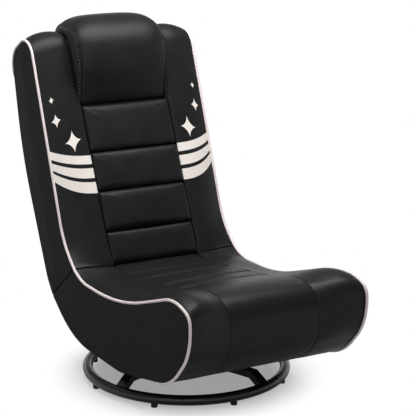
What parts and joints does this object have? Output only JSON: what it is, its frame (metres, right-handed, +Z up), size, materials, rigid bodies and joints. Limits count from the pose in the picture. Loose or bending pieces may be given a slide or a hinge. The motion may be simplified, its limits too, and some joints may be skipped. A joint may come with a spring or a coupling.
{
  "type": "folding floor gaming chair",
  "caption": "Low folding lounge chair with padded back, headrest pillow and rolled seat lip, edged in pale piping, turning on a round tube floor ring",
  "frame": {"origin": "on the floor, under the swivel axis at the centre of the ground ring", "axes": "+Z up; the chair faces -Y, so +Y is its depth towards the back; +X is its width, to the right seen from in front"},
  "size_m": [0.5179, 0.9668, 0.8524],
  "materials": {
    "base_black_coat": "satin",
    "frame_black_coat": "satin",
    "foot_rubber": "matte",
    "bush_nylon": "matte",
    "bright_steel": "satin",
    "leatherette_on_foam": "satin",
    "side_leatherette": "satin",
    "cover_cloth": "matte",
    "gusset_mesh": "matte",
    "piping_pale": "satin",
    "foam": "matte",
    "zip_metal": "satin"
  },
  "bodies": {
    "base": {"base_ring": "base_black_coat", "base_arm_1": "base_black_coat", "base_arm_2": "base_black_coat", "base_arm_3": "base_black_coat", "base_arm_4": "base_black_coat", "base_hub": "base_black_coat", "foot_1": "foot_rubber", "foot_2": "foot_rubber", "foot_3": "foot_rubber", "foot_4": "foot_rubber", "foot_5": "foot_rubber", "foot_6": "foot_rubber", "foot_7": "foot_rubber", "foot_8": "foot_rubber", "swivel_bush": "bush_nylon", "thrust_race_lower": "bright_steel", "thrust_balls": "bright_steel"},
    "seat": {"thrust_race_upper": "bright_steel", "swivel_spindle": "bright_steel", "swivel_bolt": "bright_steel", "swivel_plate": "frame_black_coat", "plate_bolts": "bright_steel", "seat_crossbar_front": "frame_black_coat", "seat_crossbar_rear": "frame_black_coat", "seat_frame": "frame_black_coat", "seat_hinge_leaf_left": "frame_black_coat", "seat_hinge_leaf_right": "frame_black_coat", "hinge_pin_left": "bright_steel", "hinge_pin_right": "bright_steel", "seat_centre_cushion": "leatherette_on_foam", "seat_bolster_left": "leatherette_on_foam", "seat_bolster_right": "leatherette_on_foam", "seat_side_panel_left": "side_leatherette", "seat_side_panel_right": "side_leatherette", "seat_bottom_cover": "cover_cloth", "seat_piping_left": "piping_pale", "seat_piping_right": "piping_pale"},
    "back": {"back_hinge_leaf_left": "frame_black_coat", "back_hinge_leaf_right": "frame_black_coat", "back_frame": "frame_black_coat", "back_crossbar": "frame_black_coat", "back_core_foam": "foam", "back_pad_1": "leatherette_on_foam", "back_pad_2": "leatherette_on_foam", "back_pad_3": "leatherette_on_foam", "back_pad_4": "leatherette_on_foam", "back_pad_5": "leatherette_on_foam", "back_bolster_left": "leatherette_on_foam", "back_bolster_right": "leatherette_on_foam", "back_side_panel_left": "side_leatherette", "back_side_panel_right": "side_leatherette", "back_rear_cover": "cover_cloth", "back_piping_left": "piping_pale", "back_piping_right": "piping_pale", "headrest_cushion": "leatherette_on_foam", "headrest_gusset_left": "gusset_mesh", "headrest_gusset_right": "gusset_mesh", "zip_tape": "cover_cloth"},
    "zip": {"zip_slider": "zip_metal"}
  },
  "joints": [
    {"name": "swivel", "type": "hinge", "parent": "base", "child": "seat", "pos_m": [0, 0, 0.04], "axis": [0, 0, 1], "continuous": true},
    {"name": "back_fold", "type": "hinge", "parent": "seat", "child": "back", "pos_m": [0, 0.165, 0.254], "axis": [1, 0, 0], "range_deg": [0, 94]},
    {"name": "zip_slide", "type": "slide", "parent": "back", "child": "zip", "axis": [1, 0, 0], "range_m": [0, 0.405]}
  ]
}
